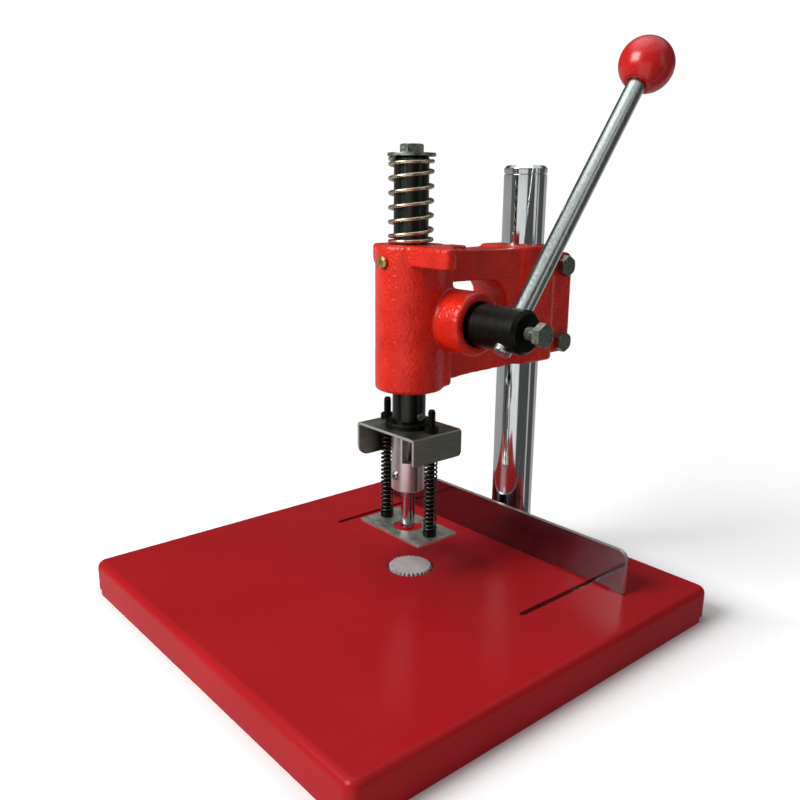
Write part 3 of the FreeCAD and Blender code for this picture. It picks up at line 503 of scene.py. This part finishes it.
def joinPieces(first, *others):
    selectOnly(first, *others)
    bpy.ops.object.join()
    return first


# a second piece like the first, with a mesh of its own
def ownCopy(piece):
    selectOnly(piece)
    bpy.ops.object.duplicate(linked=False)
    return bpy.context.object


def pieceName(node):
    words = node.split("_")
    return words[0] + "".join(word.capitalize() for word in words[1:])


# a finished piece takes its finish and its node's body, and stands for the node
def settle(piece, finish, node, smoothAngle=shaping["smoothAngle"], name=None):
    applyPlace(piece)
    bpy.ops.object.shade_smooth_by_angle(angle=math.radians(smoothAngle))
    evenShading = piece.modifiers.new("evenShading", "WEIGHTED_NORMAL")
    evenShading.weight = shaping["faceWeight"]
    evenShading.keep_sharp = True
    applyModifiers(piece)
    piece.name = name or pieceName(node)
    piece.data.name = piece.name
    piece.data.materials.clear()
    piece.data.materials.append(finishes[finish])
    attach(piece, bodyOf[node])
    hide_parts(node)


# a node's own shape with its doubles merged, ready for more work
def mergedCopy(node):
    piece = bpy.data.objects.new(node + "Copy", frame["nodes"][node].data.copy())
    bpy.context.scene.collection.objects.link(piece)
    piece.data.materials.clear()
    editAll(piece)
    bpy.ops.mesh.remove_doubles(threshold=shaping["mergeDistance"] * mm)
    bpy.ops.mesh.customdata_custom_splitnormals_clear()
    bpy.ops.mesh.dissolve_limited(angle_limit=math.radians(shaping["flatAngle"]))
    endEdit()
    return piece


# breaks the edges; points that two clamped bevels push together are merged
def softenEdges(piece, width, segments=shaping["edgeSegments"], angle=shaping["edgeAngle"]):
    bevel = piece.modifiers.new("edgeBreak", "BEVEL")
    bevel.width = width * mm
    bevel.segments = segments
    bevel.limit_method = "ANGLE"
    bevel.angle_limit = math.radians(angle)
    bevel.use_clamp_overlap = True
    applyModifiers(piece)
    editAll(piece)
    bpy.ops.mesh.remove_doubles(threshold=shaping["mergeDistance"] * mm)
    endEdit()


# a solid turned about Z: a filled circle pushed up and resized through (radius, height) pairs
def turnedPiece(profile, sides=96):
    radius, height = profile[0]
    bpy.ops.object.select_all(action="DESELECT")
    bpy.ops.mesh.primitive_circle_add(vertices=sides, radius=radius * mm, fill_type="NGON",
                                      location=(0, 0, height * mm))
    piece = bpy.context.object
    applyPlace(piece)
    editAll(piece)
    for newRadius, newHeight in profile[1:]:
        rise = (0, 0, (newHeight - height) * mm)
        bpy.ops.mesh.extrude_region_move(TRANSFORM_OT_translate={"value": rise})
        share = newRadius / radius
        bpy.ops.transform.resize(value=(share, share, 1), center_override=(0, 0, newHeight * mm))
        radius, height = newRadius, newHeight
    bpy.ops.mesh.select_all(action="SELECT")
    bpy.ops.mesh.normals_make_consistent(inside=False)
    endEdit()
    return piece


# grooves and crests of a screw thread, as steps for turnedPiece
def threadSteps(radius, pitch, low, high):
    root = radius - thread["depth"] * pitch
    turns = int((high - low) / pitch)
    steps = []
    for turn in range(turns):
        start = low + turn * pitch
        steps += [(root, start), (radius, start + thread["crestFrom"] * pitch),
                  (radius, start + thread["crestTo"] * pitch)]
    return steps + [(root, low + turns * pitch)]


# lays a piece made about Z along another direction, from another place
def layAlong(piece, direction, place):
    turn = Vector(direction).to_track_quat("Z", "Y").to_matrix().to_4x4()
    piece.matrix_world = Matrix.Translation(Vector(place) * mm) @ turn
    applyPlace(piece)


# keeps the side of a plane that its normal points to, and closes the cut
def keepAhead(piece, place, normal):
    editAll(piece)
    bpy.ops.mesh.bisect(plane_co=Vector(place) * mm, plane_no=normal, use_fill=True,
                        clear_inner=True)
    endEdit()


# takes one solid out of another, and the cutter is used up
def cutAway(piece, cutter):
    cut = piece.modifiers.new("cut", "BOOLEAN")
    cut.operation = "DIFFERENCE"
    cut.solver = "EXACT"
    cut.object = cutter
    applyModifiers(piece)
    bpy.data.objects.remove(cutter)


# head casting: the solid's form with a sand casting's soft rounds, its bores bored afterwards

casting = {
    "grid": 0.85, "smoothing": 0.5, "rounding": 14, "unevenness": 0.35, "unevenSize": 9.0,
    "boreClearance": 0.12, "boreBelow": 5.0, "boreLength": 110.0, "shaftBoreStart": -10.4,
    "shaftBoreLength": 60.0, "smoothAngle": 50.0,
}


def castSkin(piece):
    remesh = piece.modifiers.new("evenGrid", "REMESH")
    remesh.mode = "VOXEL"
    remesh.voxel_size = casting["grid"] * mm
    soften = piece.modifiers.new("sandCastRounds", "SMOOTH")
    soften.factor = casting["smoothing"]
    soften.iterations = casting["rounding"]
    clouds = bpy.data.textures.new("castUnevenness", type="CLOUDS")
    clouds.noise_scale = casting["unevenSize"] * mm
    uneven = piece.modifiers.new("castSurface", "DISPLACE")
    uneven.texture = clouds
    uneven.texture_coords = "LOCAL"
    uneven.strength = casting["unevenness"] * mm
    uneven.mid_level = 0.5
    applyModifiers(piece)


def boreCutter(radius, start, length, direction):
    cutter = turnedPiece([(radius + casting["boreClearance"], 0.0),
                          (radius + casting["boreClearance"], length)])
    layAlong(cutter, direction, start)
    return cutter


def headCasting():
    piece = mergedCopy("head_casting")
    castSkin(piece)
    start = nodeBox("head_casting")[0].z - casting["boreBelow"]
    cutters = []
    for node in ("column", "ram_rack"):
        low, high, middle = nodeBox(node)
        cutters.append(boreCutter((high.x - low.x) / 2.0, (0, middle.y, start),
                                  casting["boreLength"], (0, 0, 1)))
    low, high, middle = nodeBox("pinion_shaft")
    cutters.append(boreCutter((high.y - low.y) / 2.0,
                              (casting["shaftBoreStart"], middle.y, middle.z),
                              casting["shaftBoreLength"], (1, 0, 0)))
    for cutter in cutters:
        cutAway(piece, cutter)
    settle(piece, "redHammeredEnamel", "head_casting", casting["smoothAngle"])


headCasting()
print("head casting ready")


# column: hard-chromed bar with a ring groove near its top and a threaded stud below the base

column = {
    "studRadius": 8.0, "studPitch": 2.0, "seat": 24.0, "threadBelowSeat": 4.0,
    "plainBelowSeat": 3.0, "grooveBelowTop": 5.0, "grooveWidth": 1.2, "grooveDepth": 0.7,
    "chamfer": 2.0, "sides": 128, "edgeBreak": 0.25, "edgeAngle": 25.0, "smoothAngle": 30.0,
}


def chromeColumn():
    low, high, middle = nodeBox("column")
    stud, seat, chamfer = column["studRadius"], column["seat"], column["chamfer"]
    radius = (high.x - low.x) / 2.0
    neck = radius - column["grooveDepth"]
    grooveHigh = high.z - column["grooveBelowTop"]
    grooveLow = grooveHigh - column["grooveWidth"]
    profile = threadSteps(stud, column["studPitch"], low.z, seat - column["threadBelowSeat"])
    profile += [(stud, seat - column["plainBelowSeat"]), (stud, seat), (radius, seat),
                (radius, grooveLow), (neck, grooveLow), (neck, grooveHigh), (radius, grooveHigh),
                (radius, high.z - chamfer), (radius - chamfer, high.z)]
    piece = turnedPiece(profile, column["sides"])
    softenEdges(piece, column["edgeBreak"], angle=column["edgeAngle"])
    layAlong(piece, (0, 0, 1), (0, middle.y, 0))
    settle(piece, "hardChrome", "column", column["smoothAngle"], name="chromeColumn")


chromeColumn()
print("column ready")


# lever: chromed rod through the hub, ball knob on its end, hexagon bolt that pins it

lever = {
    "x": 70.0, "lean": 36.31, "length": 198.5, "tail": 16.4, "edgeBreak": 0.25,
    "rodRadius": 6.0, "rodChamfer": 1.2, "rodInKnob": 9.0, "rodEdgeAngle": 25.0,
    "rodSmoothAngle": 30.0,
    "knobRadius": 17.7, "knobFlat": 15.7, "knobSegments": 96, "knobRings": 64,
    "knobBore": 9.3, "knobBoreClearance": 0.06, "knobBoreBelow": 1.0, "knobEdgeBreak": 0.5,
    "knobEdgeSegments": 3, "knobEdgeAngle": 30.0, "knobSmoothAngle": 40.0,
    "boltRadius": 4.0, "boltPitch": 1.25, "boltSeat": 90.8, "boltTip": 76.0, "boltInHead": 0.2,
    "boltSides": 64, "boltSmoothAngle": 28.0,
}
leverLean = math.radians(lever["lean"])
leverWay = Vector((0, math.sin(leverLean), math.cos(leverLean)))
leverPivot = nodeBox("pinion_shaft")[2]
leverPivot.x = lever["x"]


def leverRod():
    radius, chamfer = lever["rodRadius"], lever["rodChamfer"]
    end = lever["length"] - lever["knobFlat"] + lever["rodInKnob"]
    piece = turnedPiece([(radius - chamfer, -lever["tail"]), (radius, chamfer - lever["tail"]),
                         (radius, end)])
    softenEdges(piece, lever["edgeBreak"], angle=lever["rodEdgeAngle"])
    layAlong(piece, leverWay, leverPivot)
    settle(piece, "satinChrome", "lever_rod", lever["rodSmoothAngle"])


def leverKnob():
    bpy.ops.object.select_all(action="DESELECT")
    bpy.ops.mesh.primitive_uv_sphere_add(segments=lever["knobSegments"],
                                         ring_count=lever["knobRings"],
                                         radius=lever["knobRadius"] * mm)
    piece = bpy.context.object
    keepAhead(piece, (0, 0, -lever["knobFlat"]), (0, 0, 1))
    boreRadius = lever["rodRadius"] + lever["knobBoreClearance"]
    cutAway(piece, turnedPiece([(boreRadius, -lever["knobRadius"] - lever["knobBoreBelow"]),
                                (boreRadius, lever["knobBore"] - lever["knobFlat"])]))
    softenEdges(piece, lever["knobEdgeBreak"], lever["knobEdgeSegments"], lever["knobEdgeAngle"])
    layAlong(piece, leverWay, leverPivot + leverWay * lever["length"])
    settle(piece, "redPhenolic", "lever_knob", lever["knobSmoothAngle"])


def leverBolt():
    head = mergedCopy("lever_bolt")
    keepAhead(head, (lever["boltSeat"], 0, 0), (1, 0, 0))
    softenEdges(head, lever["edgeBreak"])
    length = lever["boltSeat"] - lever["boltTip"] + lever["boltInHead"]
    shank = turnedPiece(threadSteps(lever["boltRadius"], lever["boltPitch"], 0.0, length),
                        lever["boltSides"])
    layAlong(shank, (1, 0, 0), (lever["boltTip"], leverPivot.y, leverPivot.z))
    settle(joinPieces(head, shank), "barrelZinc", "lever_bolt", lever["boltSmoothAngle"])


leverRod()
leverKnob()
leverBolt()
print("lever ready")


# springs: one unbroken wire each, with closed turns at both ends

springs = [
    {"nodes": ["return_spring"], "finish": "zincWire", "wire": 2.5, "turns": 7.2,
     "firstAngle": 193.0, "stepsInTurn": 72, "wireSides": 20, "joint": "ram_slide",
     "heldAtTop": False},
    {"nodes": ["pressure_spring_left", "pressure_spring_right"], "finish": "blackWire",
     "wire": 1.2, "turns": 23.0, "firstAngle": 0.0, "stepsInTurn": 40, "wireSides": 14,
     "joint": "stripper_slide", "heldAtTop": True},
]
# turns closed at each end, turns over which they open, pitch of a closed turn in wire thicknesses
coilEnds = {"closedTurns": 0.8, "openingTurns": 0.5, "closedPitch": 1.06}
coilSmoothAngle = 40.0


# height of the wire's middle at each step, from its closed first turn to its closed last one
def coilHeights(wire, turns, low, high, steps):
    openness = []
    for step in range(steps + 1):
        fromEnd = turns * min(step, steps - step) / steps
        opened = (fromEnd - coilEnds["closedTurns"]) / coilEnds["openingTurns"]
        openness.append(max(0.0, min(1.0, opened)))
    closedRise = wire * coilEnds["closedPitch"] * turns / steps
    openRise = (high - low - wire - closedRise * steps) / sum(openness[1:])
    heights = [low + wire / 2.0]
    for step in range(1, steps + 1):
        heights.append(heights[-1] + closedRise + openRise * openness[step])
    return heights


# a ring of the wire's outline is wound round Z, then each ring is lifted to its height
def windCoil(spring):
    low, high = nodeBox(spring["nodes"][0])[:2]
    wire, turns, sides = spring["wire"], spring["turns"], spring["wireSides"]
    radius = (high.x - low.x) / 2.0 - wire / 2.0
    steps = int(round(turns * spring["stepsInTurn"]))
    bpy.ops.object.select_all(action="DESELECT")
    bpy.ops.mesh.primitive_circle_add(vertices=sides, radius=wire / 2.0 * mm,
                                      location=(radius * mm, 0, 0),
                                      rotation=(math.pi / 2.0, 0, 0))
    piece = bpy.context.object
    applyPlace(piece)
    winding = piece.modifiers.new("winding", "SCREW")
    winding.angle = turns * 2.0 * math.pi
    winding.screw_offset = 0.0
    winding.steps = steps
    winding.render_steps = steps
    winding.use_merge_vertices = False
    applyModifiers(piece)
    heights = coilHeights(wire, turns, low.z, high.z, steps)
    for index, vertex in enumerate(piece.data.vertices):
        vertex.co.z += heights[index // sides] * mm
    editAll(piece)
    bpy.ops.mesh.fill_holes(sides=sides)
    bpy.ops.mesh.select_all(action="SELECT")
    bpy.ops.mesh.normals_make_consistent(inside=False)
    endEdit()
    piece.rotation_euler = (0, 0, math.radians(spring["firstAngle"]))
    return piece


# a coil stands on its node's axis
def fitSpring(piece, spring, node):
    low, high, middle = nodeBox(node)
    piece.location = (middle.x * mm, middle.y * mm, 0)
    settle(piece, spring["finish"], node, coilSmoothAngle)
    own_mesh(piece)


for spring in springs:
    coils = [windCoil(spring)]
    coils += [ownCopy(coils[0]) for another in spring["nodes"][1:]]
    for coil, node in zip(coils, spring["nodes"]):
        fitSpring(coil, spring, node)
print("springs ready")


# guide rods: blackened bars, threaded at the foot and where they pass the bracket

rods = {"radius": 2.5, "pitch": 0.8, "footThread": 9.0, "topThread": 33.0, "runout": 0.6,
        "tipChamfer": 0.6, "sides": 40, "smoothAngle": 28.0}


def guideRods():
    low, high, middle = nodeBox("guide_rods")
    radius, chamfer = rods["radius"], rods["tipChamfer"]
    footEnd = low.z + rods["footThread"]
    topStart = high.z - rods["topThread"]
    profile = threadSteps(radius, rods["pitch"], low.z, footEnd)
    profile += [(radius, footEnd + rods["runout"]), (radius, topStart - rods["runout"])]
    profile += threadSteps(radius, rods["pitch"], topStart, high.z - chamfer)
    profile += [(radius - chamfer, high.z)]
    left = turnedPiece(profile, rods["sides"])
    right = ownCopy(left)
    layAlong(left, (0, 0, 1), (low.x + radius, middle.y, 0))
    layAlong(right, (0, 0, 1), (high.x - radius, middle.y, 0))
    settle(joinPieces(left, right), "blackOxide", "guide_rods", rods["smoothAngle"])


guideRods()
print("guide rods ready")


# sheet pieces: rolled or polished faces with sheared edges, their brightness partly bare metal and
# partly painted highlight

sheets = {
    # node: finish, edge break, axis (0 is X), and whether the sheared edges face along that axis
    "channel_bracket": ("rolledSteel", 0.22, 1, True),
    # the stripper plate's paler finish is painted light
    "stripper_plate": ("pickledSteel", 0.15, 2, False),
    "fence_plate": ("polishedStainless", 0.2, 1, False),
}
facingShare = 0.6            # a face whose normal goes this far along the axis faces along it


def sheetPiece(node):
    finish, edgeBreak, axis, edgesAlong = sheets[node]
    piece = mergedCopy(node)
    softenEdges(piece, edgeBreak)
    settle(piece, finish, node)
    # the sheared edges take a near-white finish: bare metal with a painted highlight
    piece.data.materials.append(finishes["cutEdge"])
    for face in piece.data.polygons:
        if (abs(face.normal[axis]) > facingShare) == edgesAlong:
            face.material_index = 1


for node in sheets:
    sheetPiece(node)
print("sheet pieces ready")


# pieces whose solid already has the right form: edges broken, finish put on
# node: finish, width of its broken edge
carriedOver = {
    "base_pan": ("redStoveEnamel", 0.0),
    "backing_plate": ("rolledSteel", 0.3),
    "column_washer": ("barrelZinc", 0.15),
    "column_nut": ("barrelZinc", 0.2),
    "anvil_seat": ("turnedSteel", 0.2),
    "cutting_pad": ("castNylon", 0.15),
    "fence_clamps": ("rolledSteel", 0.2),
    "fence_screws": ("barrelZinc", 0.1),
    "guide_screw": ("yellowZinc", 0.1),
    "clamp_bolts": ("barrelZinc", 0.25),
    "clamp_washers": ("barrelZinc", 0.15),
    "clamp_nuts": ("barrelZinc", 0.15),
    "ram_rack": ("blackBar", 0.0),
    "ram_flange": ("blackOxide", 0.15),
    "ram_lock_screw": ("barrelZinc", 0.1),
    "top_washer": ("barrelZinc", 0.2),
    "top_bolt": ("barrelZinc", 0.2),
    "punch_holder": ("turnedSteel", 0.15),
    "holder_set_screw": ("groundSteel", 0.1),
    "punch_tube": ("groundSteel", 0.0),
    "punch_collar": ("blackOxide", 0.1),
    "rod_stop_nuts": ("blackOxide", 0.1),
    "rod_foot_nuts": ("blackOxide", 0.1),
    "pinion_shaft": ("blackOxide", 0.0),
    "shaft_washer": ("barrelZinc", 0.15),
    "shaft_screw": ("barrelZinc", 0.15),
}

for node, (finish, edgeBreak) in carriedOver.items():
    piece = mergedCopy(node)
    if edgeBreak > 0:
        softenEdges(piece, edgeBreak)
    settle(piece, finish, node)
print("carried over:", len(carriedOver))
